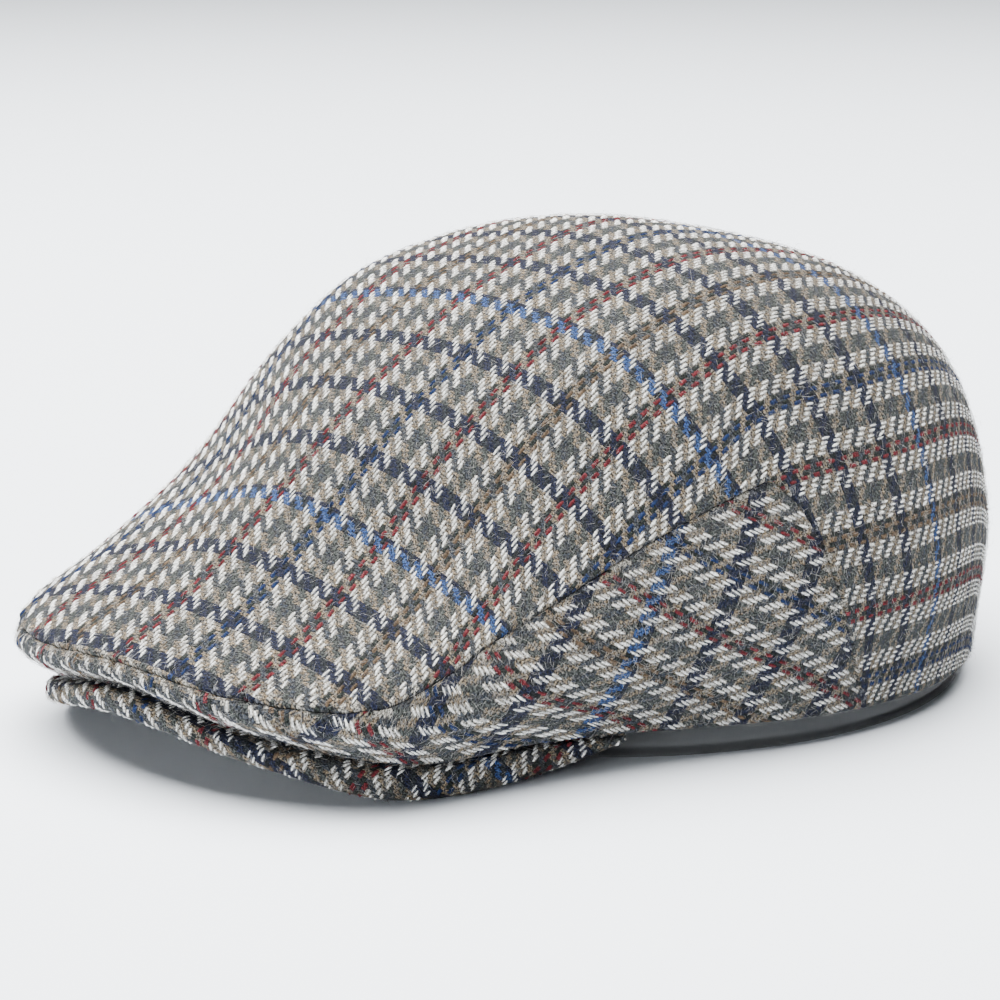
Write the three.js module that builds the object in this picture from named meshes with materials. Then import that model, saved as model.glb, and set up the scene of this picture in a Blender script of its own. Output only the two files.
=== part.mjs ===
// A flat cap with a short front peak, standing on a clear display ring. Millimetres, +Z up.
// The peak points to -Y, the wearer's left is +X, the ring stands on z = 0, and both sides are alike.
import * as THREE from 'three';

// Driving dimensions
const CLOTH_THICKNESS = 2.4;
const PIECE_GAP = 0.3;
const POLE_Y = 31.4;
const POLE_HEIGHT = 115;

// The crown is charted round an upright line at POLE_Y. Azimuth 0 is the middle of the front, 90 the
// wearer's left and 180 the middle of the back. Ring 0 is the pole and ring 5 the hem.
// The crown's outer face, each ring as [radius, height]
const RING_NAMES = ['crest', 'slope', 'shoulder', 'fold', 'hem'];
const HEM_RING = RING_NAMES.length;
const CROWN = [
  { azimuth: 0, crest: [42, 104], slope: [82, 82], shoulder: [124, 50], fold: [160, 29], hem: [157, 21.5] },
  { azimuth: 14, crest: [42, 104.3], slope: [80, 83], shoulder: [119, 49], fold: [159, 26], hem: [151, 15] },
  { azimuth: 26, crest: [42, 105], slope: [77.5, 85], shoulder: [109, 53.5], fold: [151, 25], hem: [139, 9] },
  { azimuth: 36, crest: [42, 106], slope: [75, 88.5], shoulder: [101, 60], fold: [130, 28], hem: [117, 8.5] },
  { azimuth: 50, crest: [42, 107.2], slope: [72, 94], shoulder: [94, 68], fold: [110, 34], hem: [101, 8] },
  { azimuth: 75, crest: [42, 109.3], slope: [68, 98], shoulder: [88, 75], fold: [102, 40], hem: [97, 7] },
  { azimuth: 100, crest: [42, 110.2], slope: [69, 99], shoulder: [89, 77], fold: [101, 41], hem: [98, 6.5] },
  { azimuth: 140, crest: [42, 109.2], slope: [71.5, 97], shoulder: [91, 76], fold: [99, 43], hem: [97, 6] },
  { azimuth: 180, crest: [42, 108], slope: [72, 95], shoulder: [91, 74], fold: [99, 43], hem: [97, 6] },
];

// The seam between the top panel and a side panel: along the side to the corner, then down to the hem
const SIDE_SEAM = [
  { azimuth: 0, ring: 4 },
  { azimuth: 20, ring: 4 },
  { azimuth: 26, ring: 3.95 },
  { azimuth: 30, ring: 3.8 },
  { azimuth: 34, ring: 3.65 },
  { azimuth: 44, ring: 3.5 },
  { azimuth: 58, ring: 3.34 },
  { azimuth: 70, ring: 3.25 },
];
const BACK_SEAM = [
  { azimuth: 70, ring: 3.25 },
  { azimuth: 74, ring: 3.46 },
  { azimuth: 77, ring: 3.8 },
  { azimuth: 79, ring: 4.12 },
  { azimuth: 81, ring: 4.4 },
  { azimuth: 85.5, ring: 5 },
];
const CORNER_AZIMUTH = SIDE_SEAM.at(-1).azimuth;
const PANEL_END_AZIMUTH = 85.2;

// The peak: outer radius, height of its outer lower edge, and height of its inner lower edge
const PEAK = [
  { azimuth: 0, radius: 161, lower: 15.5, inner: 26 },
  { azimuth: 14, radius: 155.5, lower: 9, inner: 24.5 },
  { azimuth: 24, radius: 145, lower: 1.6, inner: 20.5 },
  { azimuth: 30, radius: 132.5, lower: 0.3, inner: 16.5 },
  { azimuth: 38, radius: 114, lower: 1.6, inner: 11.5 },
  { azimuth: 48, radius: 101.5, lower: 6.4, inner: 6.2 },
];
const PEAK_END_AZIMUTH = PEAK.at(-1).azimuth;
const PEAK_INNER_RADIUS = 97.2;
const PEAK_INNER_THICKNESS = 3.5;
const PEAK_ARCH = 2;
const PEAK_ARCH_SHARE = 1 / 4;
const PEAK_EDGE_SHARE = 1 / 3;
const PEAK_EDGE_EASE = 0.3;
const PEAK_TUCK = 1.5;
const PEAK_LEAST_STEP = 0.4;

// The clear ring, an oval that flares into the hem from a small foot
const RING_HALF_WIDTH = 92;
const RING_HALF_LENGTH = 93;
const RING_HEIGHT = 12;
const RING_WALL = 2;
const RING_FLARE = 1.4;
const RING_FOOT_HEIGHT = 1.2;
const RING_FOOT_WIDTH = 1.2;
const RING_FOOT_SLOPE = 0.6;
const RING_RIM_CHAMFER = 0.5;

// Mesh fineness
const FRONT_STEPS = 26;
const CORNER_STEPS = 8;
const BACK_STEPS = 26;
const TOP_ROWS = 14;
const SIDE_ROWS = 7;
const PEAK_STEPS = 44;
const RING_STEPS = 96;

const radians = THREE.MathUtils.degToRad;

// Interpolation

// A smooth curve through the points (xs[i], ys[i]), read at x
function smoothCurve(xs, ys, x) {
  const last = xs.length - 1;
  const slopeAt = (i) => {
    const before = Math.max(i - 1, 0);
    const after = Math.min(i + 1, last);
    return (ys[after] - ys[before]) / (xs[after] - xs[before]);
  };
  let i = 0;
  while (i < last - 1 && x > xs[i + 1]) i += 1;
  const width = xs[i + 1] - xs[i];
  const f = (x - xs[i]) / width;
  const rise = f * f * (3 - 2 * f);
  return ys[i] * (1 - rise) + ys[i + 1] * rise
    + width * f * (1 - f) * ((1 - f) * slopeAt(i) - f * slopeAt(i + 1));
}

// A column of a table read at an azimuth, alike on both sides
function readTable(rows, pick, azimuth) {
  const first = rows.slice(1, 3).reverse();
  const xs = [...first.map((row) => -row.azimuth), ...rows.map((row) => row.azimuth)];
  const ys = [...first.map(pick), ...rows.map(pick)];
  if (rows.at(-1).azimuth === 180) {
    const beyond = rows.slice(-3, -1).reverse();
    xs.push(...beyond.map((row) => 360 - row.azimuth));
    ys.push(...beyond.map(pick));
  }
  return smoothCurve(xs, ys, Math.abs(azimuth));
}

// A point at a radius and height round the upright line
function polarPoint(azimuth, radius, height) {
  const angle = radians(azimuth);
  return new THREE.Vector3(radius * Math.sin(angle), POLE_Y - radius * Math.cos(angle), height);
}

// The crown

// The profile runs on through the pole to the crest ring of the opposite side
function crownPoint(azimuth, ring) {
  const wrapped = azimuth > 180 ? azimuth - 360 : azimuth;
  const radii = RING_NAMES.map((name) => readTable(CROWN, (row) => row[name][0], wrapped));
  const heights = RING_NAMES.map((name) => readTable(CROWN, (row) => row[name][1], wrapped));
  const rings = [-1, 0, ...RING_NAMES.map((name, i) => i + 1)];
  const opposite = 180 - Math.abs(wrapped);
  const farRadius = readTable(CROWN, (row) => row.crest[0], opposite);
  const farHeight = readTable(CROWN, (row) => row.crest[1], opposite);
  const radius = smoothCurve(rings, [-farRadius, 0, ...radii], ring);
  const height = smoothCurve(rings, [farHeight, POLE_HEIGHT, ...heights], ring);
  return polarPoint(azimuth, radius, height);
}

function crownNormal(azimuth, ring) {
  const ringStep = 0.05;
  const azimuthStep = 0.5;
  const at = Math.max(ring, ringStep);
  const along = crownPoint(azimuth, Math.min(at + ringStep, HEM_RING))
    .sub(crownPoint(azimuth, at - ringStep));
  const around = crownPoint(azimuth + azimuthStep, at).sub(crownPoint(azimuth - azimuthStep, at));
  return along.cross(around).normalize();
}

function hemAt(azimuth) {
  return {
    radius: readTable(CROWN, (row) => row.hem[0], azimuth),
    height: readTable(CROWN, (row) => row.hem[1], azimuth),
  };
}

// The ring at which the seam runs, moved half a gap to one side of it: -1 up and back, +1 down and forward
function seamRing(azimuth, side) {
  const halfGapAzimuth = THREE.MathUtils.radToDeg(PIECE_GAP / 2 / CROWN.at(-1).fold[0]);
  const halfGapRing = 0.006;
  const at = Math.abs(azimuth);
  const column = (rows, x) => smoothCurve(rows.map((row) => row.azimuth), rows.map((row) => row.ring), x);
  const ring = at <= CORNER_AZIMUTH
    ? column(SIDE_SEAM, at)
    : column(BACK_SEAM, Math.max(at + side * halfGapAzimuth, CORNER_AZIMUTH));
  return ring + side * halfGapRing;
}

// Azimuths of the columns of points, closest together at the panel's corner
function stations(end) {
  const list = [];
  for (let i = 0; i < FRONT_STEPS; i += 1) {
    list.push((CORNER_AZIMUTH * i) / FRONT_STEPS);
  }
  for (let i = 0; i <= CORNER_STEPS; i += 1) {
    list.push(THREE.MathUtils.lerp(CORNER_AZIMUTH, PANEL_END_AZIMUTH, i / CORNER_STEPS));
  }
  for (let i = 1; i <= BACK_STEPS && end === 180; i += 1) {
    list.push(THREE.MathUtils.lerp(PANEL_END_AZIMUTH, 180, i / BACK_STEPS));
  }
  return list;
}

// Solids

// Collects triangles, and leaves out those that have no area
class Skin {
  constructor() {
    this.ids = new Map();
    this.points = [];
    this.index = [];
  }

  id(point) {
    if (!this.ids.has(point)) {
      this.ids.set(point, this.ids.size);
      this.points.push(point.x, point.y, point.z);
    }
    return this.ids.get(point);
  }

  triangle(a, b, c) {
    if (a !== b && b !== c && c !== a) this.index.push(this.id(a), this.id(b), this.id(c));
  }

  quad(a, b, c, d) {
    this.triangle(a, b, c);
    this.triangle(a, c, d);
  }

  mesh(name, material) {
    const geometry = new THREE.BufferGeometry();
    geometry.setAttribute('position', new THREE.Float32BufferAttribute(this.points, 3));
    geometry.setIndex(this.index);
    geometry.computeVertexNormals();
    const mesh = new THREE.Mesh(geometry, material);
    mesh.name = name;
    return mesh;
  }
}

// A wall of cloth: columns of outer points from top to bottom, and the inner points behind them
function clothWall(name, outer, inner, closed, material) {
  const skin = new Skin();
  const columns = outer.length;
  const last = outer[0].length - 1;
  for (let c = 0; c < (closed ? columns : columns - 1); c += 1) {
    const next = (c + 1) % columns;
    for (let r = 0; r < last; r += 1) {
      skin.quad(outer[c][r], outer[c][r + 1], outer[next][r + 1], outer[next][r]);
      skin.quad(inner[c][r], inner[next][r], inner[next][r + 1], inner[c][r + 1]);
    }
    skin.quad(outer[c][last], inner[c][last], inner[next][last], outer[next][last]);
    if (!closed) skin.quad(inner[c][0], outer[c][0], outer[next][0], inner[next][0]);
  }
  for (let r = 0; r < last && !closed; r += 1) {
    const end = columns - 1;
    skin.quad(outer[0][r], inner[0][r], inner[0][r + 1], outer[0][r + 1]);
    skin.quad(outer[end][r], outer[end][r + 1], inner[end][r + 1], inner[end][r]);
  }
  return skin.mesh(name, material);
}

// A bar through sections of matching points, its two ends closed
function bar(name, sections, flatSection, material) {
  const skin = new Skin();
  const count = sections[0].length;
  for (let s = 0; s < sections.length - 1; s += 1) {
    for (let p = 0; p < count; p += 1) {
      const q = (p + 1) % count;
      skin.quad(sections[s][p], sections[s + 1][p], sections[s + 1][q], sections[s][q]);
    }
  }
  const ends = [[sections[0], flatSection(0)], [sections.at(-1), flatSection(sections.length - 1)]];
  ends.forEach(([section, flat], end) => {
    for (const [a, b, c] of THREE.ShapeUtils.triangulateShape(flat, [])) {
      if (end === 0) skin.triangle(section[a], section[b], section[c]);
      else skin.triangle(section[a], section[c], section[b]);
    }
  });
  return skin.mesh(name, material);
}

// The pieces

function topPanel(material) {
  const half = stations(180);
  const azimuths = [...half.slice(1, -1).map((azimuth) => -azimuth).reverse(), ...half];
  const pole = crownPoint(0, 0);
  const innerPole = pole.clone().setZ(POLE_HEIGHT - CLOTH_THICKNESS);
  const outer = [];
  const inner = [];
  for (const azimuth of azimuths) {
    const edge = Math.abs(azimuth) > PANEL_END_AZIMUTH ? HEM_RING : seamRing(azimuth, -1);
    const face = [pole];
    const back = [innerPole];
    for (let r = 1; r <= TOP_ROWS; r += 1) {
      const ring = Math.min((edge * r) / TOP_ROWS, HEM_RING);
      const point = crownPoint(azimuth, ring);
      face.push(point);
      back.push(point.clone().addScaledVector(crownNormal(azimuth, ring), -CLOTH_THICKNESS));
    }
    outer.push(face);
    inner.push(back);
  }
  return clothWall('top_panel', outer, inner, true, material);
}

function sidePanel(name, side, material) {
  const middleGap = THREE.MathUtils.radToDeg(PIECE_GAP / 2 / CROWN[0].fold[0]);
  const azimuths = stations(PANEL_END_AZIMUTH).map((azimuth) => side * Math.max(azimuth, middleGap));
  if (side < 0) azimuths.reverse();
  const outer = [];
  const inner = [];
  for (const azimuth of azimuths) {
    const top = seamRing(azimuth, 1);
    const face = [];
    const back = [];
    for (let r = 0; r <= SIDE_ROWS; r += 1) {
      const ring = THREE.MathUtils.lerp(top, HEM_RING, r / SIDE_ROWS);
      const point = crownPoint(azimuth, ring);
      face.push(point);
      back.push(point.clone().addScaledVector(crownNormal(azimuth, ring), -CLOTH_THICKNESS));
    }
    outer.push(face);
    inner.push(back);
  }
  return clothWall(name, outer, inner, false, material);
}

// The peak's section as [radius, height], from the inner lower corner out, round the edge and back.
// It arches up underneath, its edge is round, and its top steps down to lie under the hem.
function peakSection(azimuth) {
  const radius = readTable(PEAK, (row) => row.radius, azimuth);
  const lower = readTable(PEAK, (row) => row.lower, azimuth);
  const inner = readTable(PEAK, (row) => row.inner, azimuth);
  const hem = hemAt(azimuth);
  const upper = hem.height - 2 * PIECE_GAP;
  const height = upper - lower;
  const round = Math.min(height / 2, (radius - PEAK_INNER_RADIUS) * PEAK_EDGE_SHARE);
  const ease = PEAK_EDGE_EASE * round;
  const arch = Math.min(PEAK_ARCH, height * PEAK_ARCH_SHARE);
  const behindHem = Math.max(
    hem.radius - CLOTH_THICKNESS - PEAK_TUCK,
    PEAK_INNER_RADIUS + PEAK_LEAST_STEP,
  );
  return [
    [PEAK_INNER_RADIUS, inner],
    [(PEAK_INNER_RADIUS + radius) / 2, (inner + lower) / 2 + arch],
    [radius - round, lower],
    [radius - ease, lower + ease],
    [radius, lower + round],
    [radius - ease, upper - ease],
    [radius - round, upper],
    [Math.min(behindHem, radius - round - PEAK_LEAST_STEP), upper],
    [PEAK_INNER_RADIUS, Math.max(inner + PEAK_INNER_THICKNESS, upper)],
  ];
}

function peak(material) {
  const azimuths = [];
  for (let i = 0; i <= PEAK_STEPS; i += 1) {
    azimuths.push(THREE.MathUtils.lerp(-PEAK_END_AZIMUTH, PEAK_END_AZIMUTH, i / PEAK_STEPS));
  }
  const sections = azimuths.map((azimuth) => peakSection(azimuth)
    .map(([radius, height]) => polarPoint(azimuth, radius, height)));
  const flatSection = (i) => peakSection(azimuths[i])
    .map(([radius, height]) => new THREE.Vector2(radius, height));
  return bar('peak', sections, flatSection, material);
}

function clearRing(material) {
  const rimRadius = RING_HALF_WIDTH + RING_FLARE;
  const footRadius = RING_HALF_WIDTH + RING_FOOT_WIDTH;
  const profile = [
    [RING_HALF_WIDTH - RING_WALL, 0],
    [footRadius, 0],
    [footRadius, RING_FOOT_HEIGHT],
    [RING_HALF_WIDTH, RING_FOOT_HEIGHT + RING_FOOT_SLOPE],
    [rimRadius, RING_HEIGHT - RING_RIM_CHAMFER],
    [rimRadius - RING_RIM_CHAMFER, RING_HEIGHT],
    [rimRadius - RING_WALL, RING_HEIGHT],
    [RING_HALF_WIDTH - RING_WALL, 0],
  ].map(([radius, height]) => new THREE.Vector2(radius, height));
  const geometry = new THREE.LatheGeometry(profile, RING_STEPS);
  geometry.rotateX(Math.PI / 2);
  geometry.scale(1, RING_HALF_LENGTH / RING_HALF_WIDTH, 1);
  const mesh = new THREE.Mesh(geometry, material);
  mesh.name = 'clear_ring';
  mesh.position.set(0, POLE_Y, 0);
  return mesh;
}

const tweed = () => new THREE.MeshStandardMaterial({ color: '#8f8b83', roughness: 0.95, metalness: 0 });
const clearPlastic = new THREE.MeshStandardMaterial({
  color: '#dfe5e8',
  roughness: 0.08,
  metalness: 0,
  transparent: true,
  opacity: 0.35,
});

const cap = new THREE.Group();
cap.add(topPanel(tweed()));
cap.add(sidePanel('side_panel_left', 1, tweed()));
cap.add(sidePanel('side_panel_right', -1, tweed()));
cap.add(peak(tweed()));
cap.add(clearRing(clearPlastic));

export default cap;
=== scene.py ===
# A tweed flat cap with a short front peak, standing on a clear display ring.
# Shapes are worked out in millimetres, with the peak to -Y and the wearer's left at +X, and
# go into Blender in metres. The cloth is charted in threads: warp threads run front to back
# and are counted to the wearer's left, weft threads run side to side and are counted back.
import math

import bpy
import numpy as np
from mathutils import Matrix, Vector
from mathutils.bvhtree import BVHTree


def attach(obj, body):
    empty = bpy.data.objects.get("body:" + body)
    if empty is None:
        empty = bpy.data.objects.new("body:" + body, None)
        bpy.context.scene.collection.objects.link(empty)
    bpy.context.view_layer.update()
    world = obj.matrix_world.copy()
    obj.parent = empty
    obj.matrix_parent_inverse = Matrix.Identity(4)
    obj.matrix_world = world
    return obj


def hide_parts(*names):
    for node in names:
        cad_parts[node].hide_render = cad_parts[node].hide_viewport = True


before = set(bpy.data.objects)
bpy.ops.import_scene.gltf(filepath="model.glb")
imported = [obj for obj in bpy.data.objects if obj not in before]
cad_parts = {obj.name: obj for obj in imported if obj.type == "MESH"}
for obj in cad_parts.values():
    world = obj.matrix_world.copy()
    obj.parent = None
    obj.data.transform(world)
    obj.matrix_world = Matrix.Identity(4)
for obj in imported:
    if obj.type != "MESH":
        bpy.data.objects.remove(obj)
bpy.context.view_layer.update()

MM = 0.001

# The crown's form, in millimetres round an upright line at POLE_Y. Azimuth 0 is the middle of
# the front, 90 the wearer's left and 180 the middle of the back; ring 0 is the pole.
CLOTH_THICKNESS = 2.4
SEAM_GAP = 0.05
PEAK_GAP = 0.6
POLE_Y = 31.4
POLE_HEIGHT = 115
HEM_RING = 5
# Azimuth, then (radius, height) at the crest, slope, shoulder, fold and hem rings
CROWN = (
    (0, (42, 104), (82, 82), (124, 50), (160, 29), (157, 21.5)),
    (14, (42, 104.3), (80, 83), (119, 49), (159, 26), (151, 15)),
    (26, (42, 105), (77.5, 85), (109, 53.5), (151, 25), (139, 9)),
    (36, (42, 106), (75, 88.5), (101, 60), (130, 28), (117, 8.5)),
    (50, (42, 107.2), (72, 94), (94, 68), (110, 34), (101, 8)),
    (75, (42, 109.3), (68, 98), (88, 75), (102, 40), (97, 7)),
    (100, (42, 110.2), (69, 99), (89, 77), (101, 41), (98, 6.5)),
    (140, (42, 109.2), (71.5, 97), (91, 76), (99, 43), (97, 6)),
    (180, (42, 108), (72, 95), (91, 74), (99, 43), (97, 6)),
)
# The seam round a side panel, as (azimuth, ring)
SIDE_SEAM = ((0, 4), (20, 4), (26, 3.95), (30, 3.8), (34, 3.65), (44, 3.5), (58, 3.34), (70, 3.25))
BACK_SEAM = ((70, 3.25), (74, 3.46), (77, 3.8), (79, 4.12), (81, 4.4), (85.5, 5))
CORNER_AZIMUTH = 70
PANEL_END_AZIMUTH = 85.2
# The peak, as (azimuth, outer radius, height of the outer lower edge, height of the inner one)
PEAK = (
    (0, 161, 15.5, 26),
    (14, 155.5, 9, 24.5),
    (24, 145, 1.6, 20.5),
    (30, 132.5, 0.3, 16.5),
    (38, 114, 1.6, 11.5),
    (48, 101.5, 6.4, 6.2),
)
PEAK_END_AZIMUTH = 48
PEAK_INNER_RADIUS = 97.2
PEAK_INNER_THICKNESS = 3.5
PEAK_INNER_REACH = 0.8
PEAK_ARCH = 2
# The clear ring, a flared wall with a small foot. Its section is (out from the half width,
# height), from the foot's inner corner outwards and up
RING_HALF_WIDTH = 92
RING_HALF_LENGTH = 93
RING_SECTION = (
    (-1.7, 0),
    (0.8, 0),
    (1.2, 0.35),
    (1.2, 0.9),
    (0.9, 1.2),
    (0.35, 1.5),
    (0, 2.1),
    (0.7, 6),
    (1.4, 11.2),
    (1.1, 11.8),
    (0.5, 12),
    (-0.3, 11.8),
    (-0.6, 11.2),
    (-1.3, 6),
    (-2, 0.5),
)

# The cloth: a two-and-two twill. Its check repeats every 16 threads in both directions.
PITCH = 1.15
TWILL = 4
CHECK = 16
BAND = 4
LIGHT_WEFT_LINE = 22.2
THREADS_PER_UV = 200
# Where the top panel's threads turn from round the pole to square, and where they draw together
# at the front, as (from, to) in millimetres down the cloth or in degrees
SQUARING_LENGTHS = (50, 130)
SQUARING_AZIMUTHS = (60, 90)
DRAWN_IN_LENGTHS = (108, 180)
DRAWN_IN_AZIMUTHS = (20, 44)
DRAWN_IN_SHARE = 0.17
# The side panels' cloth is cut askew and turns along the hem. Each row is (reach back along the
# fold, cloth across, more of it for each millimetre down, cloth back, more of it down)
SIDE_CLOTH = (
    (0, 182, 0.05, -43, 1),
    (31, 147.2, 0.2, -42, 0.9),
    (50, 129.5, 0.27, -38, 0.75),
    (71, 110.4, 0.33, -25, 0.58),
    (90, 91.7, 0.5, -8, 0.5),
    (117, 73.6, 0.95, 9, 0.47),
    (140, 57.5, 1.05, 24.5, 0.42),
    (167, 38, 1.08, 48, 0.41),
    (212, 9, 1.08, 85.5, 0.41),
)
# The peak's cloth turns by a share of the rim's turn. At the rim's middle it is this far across
# and back, in millimetres of cloth
PEAK_TURN_SHARE = 0.55
PEAK_CLOTH_ACROSS = 10.8
PEAK_CLOTH_BACK = -17.7
PEAK_CLOTH_STRETCH = 1.19

# How the cloth lies: rolled edges, the seams' lips and gathers, and soft waves. A gather is
# (radians for each degree of azimuth, phase, share of the height), and a wave is (length,
# direction in degrees, phase), whose phase also moves with the height by WAVE_CLIMB
EDGE_BAND = 3
EDGE_SHARES = np.array([0, 0.04, 0.16, 0.36, 0.64, 1])
HEM_ROLL = 1.05
SEAM_ROLL = 0.8
SEAM_LIP = 0.4
SEAM_SINK = 0.35
SEAM_REACH = 3.5
SEWN_AZIMUTHS = (82, 88)
PUCKERS = ((1.35, 0.6, 1), (2.3, 2.1, 0.7))
PUCKER_HEIGHT = 0.25
PUCKER_REACH = 7
WAVES = ((67, 20, 0.4), (49, 75, 2.2), (83, 130, 4.1))
WAVE_HEIGHT = 0.22
WAVE_CLIMB = 0.6

# Mesh fineness
MERIDIAN_STEPS = 301
TOP_COLUMNS = 420
TOP_ROWS = 84
SIDE_COLUMNS = 160
SIDE_ROWS = 26
SIDE_CROWDING = 1.3
SIDE_REFERENCE_RING = 4.3
PEAK_COLUMNS = 200
PEAK_TOP_STEPS = 14
PEAK_EDGE_STEPS = 14
PEAK_UNDER_STEPS = 16
PEAK_SQUARENESS = 0.8
RING_COLUMNS = 240
TINY = 1e-9
MIRROR = np.array([-1, 1, 1])

# A warp float, the stretch of a warp thread that lies on top of two weft threads, as
# (threads along it, half width in threads, height in millimetres). Spreads and ranges are
# those of its random place, size, lean and length, and a coloured line's floats are wider
FLOAT_STATIONS = (
    (-0.7, 0, -0.3),
    (0.1, 0.26, 0.2),
    (1, 0.35, 0.4),
    (1.9, 0.26, 0.2),
    (2.7, 0, -0.3),
)
FLOAT_SHIFT_SPREAD = 0.06
FLOAT_SIZES = (0.75, 1.15)
FLOAT_LEAN = 0.07
FLOAT_LEAN_SPREAD = 0.09
FLOAT_LENGTHS = (0.85, 1.08)
LINE_FLOAT_WIDTH = 1.35
FLOAT_SINK = 0.15
FLOAT_CLEARANCE = 0.7
# Where a float's sides and ends read the cloth's colour, in threads
FLOAT_COLOR_SIDE = 0.3
FLOAT_COLOR_ENDS = (0.08, 1.92)

# Loose wool fibres, lengths and heights in millimetres. Each lies along the cloth, bends
# sideways and lifts towards its middle; a few stand up. None goes below HAIR_LOWEST
HAIR_COUNTS = {"top_panel": 13000, "side_panel_left": 4000, "side_panel_right": 4000, "peak": 3000}
HAIR_TRIES = 3
HAIR_RADIUS = 0.028
HAIR_STATIONS = (0, 0.5, 1)
HAIR_GAMMA = 2.5
HAIR_LENGTH = 0.5
HAIR_LEAST = 0.7
HAIR_MOST = 4
HAIR_BEND = 0.4
HAIR_LIFT = 0.25
HAIR_FALL = 1.6
HAIR_HEIGHT = 0.3
HAIR_LOWEST = 0.4
HAIR_ROOT_LOWEST = 1.2
STANDING_SHARE = 0.1
STANDING_LIFT = 0.6
RANDOM_SEED = 7

# The yarns and their order. A ground entry is (first thread of the check, yarn).
YARNS = {
    "cream": (0.88, 0.875, 0.845, 1),
    # shaded_cream is no yarn: it is the cream warp with painted shade, seen round the raised floats
    "shaded_cream": (0.27, 0.255, 0.22, 1),
    "grey": (0.038, 0.042, 0.038, 1),
    "beige": (0.125, 0.105, 0.079, 1),
    "weft_grey": (0.031, 0.034, 0.038, 1),
    "dark_green": (0.009, 0.012, 0.009, 1),
    "navy": (0.004, 0.006, 0.02, 1),
    "red": (0.11, 0.015, 0.019, 1),
    "blue": (0.01, 0.022, 0.07, 1),
    "light_blue": (0.02, 0.048, 0.14, 1),
    "tan": (0.1, 0.068, 0.042, 1),
}
COOL_TINT = (0.6, 0.7, 0.85, 1)
WARM_TINT = (1.2, 1.08, 0.88, 1)
# Painted shade laid on the warp in the dark weft band
DARK_BAND_SHADE = (0.27, 0.3, 0.4, 1)
FIBRE_GLOW = (0.036, 0.037, 0.043, 1)
BLACK = (0, 0, 0, 1)
WHITE = (1, 1, 1, 1)
WARP_GROUND = ((0, "dark_green"), (4, "cream"), (8, "grey"), (12, "cream"))
# On the cloth under the raised floats the cream warp is painted as shaded cream, a painted shade
UNDER_WARP_GROUND = ((0, "dark_green"), (4, "shaded_cream"), (8, "grey"), (12, "shaded_cream"))
WARP_LINES = ("red", "blue", "red", "tan")
WARP_LINE_THREADS = (1, 3)
WEFT_GROUND = ((0, "navy"), (4, "beige"), (8, "weft_grey"), (12, "beige"))
WEFT_LINES = ("light_blue", "navy", "navy", "navy")
WEFT_LINE_THREADS = (0, 1, 2)

# The look of the threads. A noise is (seed, lumps in a thread's width, detail, roughness), a
# gap narrows a thread's round section, and a hollow is the light left beside it
THREAD_WANDER = 0.5
WANDER_NOISES = ((0, 0.6, 4, 0.5), (40, 0.6, 4, 0.5))
# Fields of light and shade, each a noise and (middle, gain, least, most) for its spread
FIELDS = {
    "grain": ((80, 2.4, 2, 0.55), (0.9, 9, 0.1, 2.3)),
    "float_shades": ((90, 0.7, 2, 0.5), (0.85, 2, 0.45, 1.1)),
    "heather": ((70, 1.1, 3, 0.6), (0.5, 6, 0, 1)),
    "broad_shades": ((60, 0.1, 2, 0.5), (1, 0.6, 0.8, 1.2)),
    "tangle_patches": ((20, 1.7, 2, 0.5), (0.6, 4, 0.05, 1)),
}
WARP_GAP = 1.1
WEFT_GAP = 1.05
WEFT_HEIGHT = 0.6
WARP_HOLLOW = 0.5
WEFT_HOLLOW = 0.75
RAISED_GRAIN = 0.36
PLY_SLOPE = 0.8
PLIES_PER_THREAD = 1.5
PLY_HEIGHT = 0.06
FIBRE_TANGLES = ((100, 1, 1, 0.5), (110, 1.4, 1, 0.5), (120, 2, 1, 0.5))
FIBRE_WIDTH = 0.045
WEFT_FIBRES = 0.8
WARP_FIBRES = 0.7
RAISED_FIBRES = 0.15
# The relief's depth in millimetres, and the shares of it that the fibres and the grain take
RELIEF_DEPTH = 0.3
FIBRE_RELIEF = 0.4
GRAIN_RELIEF = 0.3
RAISED_GRAIN_RELIEF = 0.05

# The surfaces. A pair of numbers is a value's least and how much its noise adds at most
TWEED_SURFACE = {
    "Roughness": 0.9,
    "Specular IOR Level": 0.1,
    "Sheen Weight": 0.03,
    "Sheen Roughness": 0.5,
}
HAIR_SURFACE = {"Roughness": 0.7, "Sheen Weight": 0.2}
HAIR_COLORS = {"pale": (0.6, 0.58, 0.54, 1), "dark": (0.06, 0.06, 0.075, 1)}
HAIR_SHADE = 0.4
HAIR_TINT_SCALE = 700
# The plastic's dark grey is partly painted shade for the cap's dark inside seen through it
PLASTIC_COLORS = ((0.07, 0.073, 0.076, 1), (0.09, 0.094, 0.098, 1))
PLASTIC_SMUDGE_SCALE = 60
PLASTIC_ROUGHNESS = (0.1, 0.15)
PLASTIC_ALPHA = (0.32, 0.06)
PLASTIC_IOR = 1.49
TABLE_SURFACE = {"Base Color": (0.88, 0.93, 0.99, 1), "Roughness": 0.55}
ROOM = {"Color": (0.86, 0.88, 0.92, 1), "Strength": 0.05}

# The camera
CAMERA_AZIMUTH = 46
CAMERA_ELEVATION = 12.5
CAMERA_DISTANCE = 900
CAMERA_TARGET = (8, -12.6, 50)
CAMERA_LENS = 129.6

# The studio, in metres and watts. Each light is (place, size, power, colour)
LIGHTS = {
    "window": ((-0.38, 0.05, 1.6), 2.4, 260, (1, 0.995, 0.985)),
    "front_fill": ((0.6, -2.2, 0.3), 1, 42, (0.95, 0.97, 1)),
}
LIGHT_TARGET = (0, 0, 0.05)
TABLE_HALF_WIDTH = 4


# Curves and tables


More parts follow.
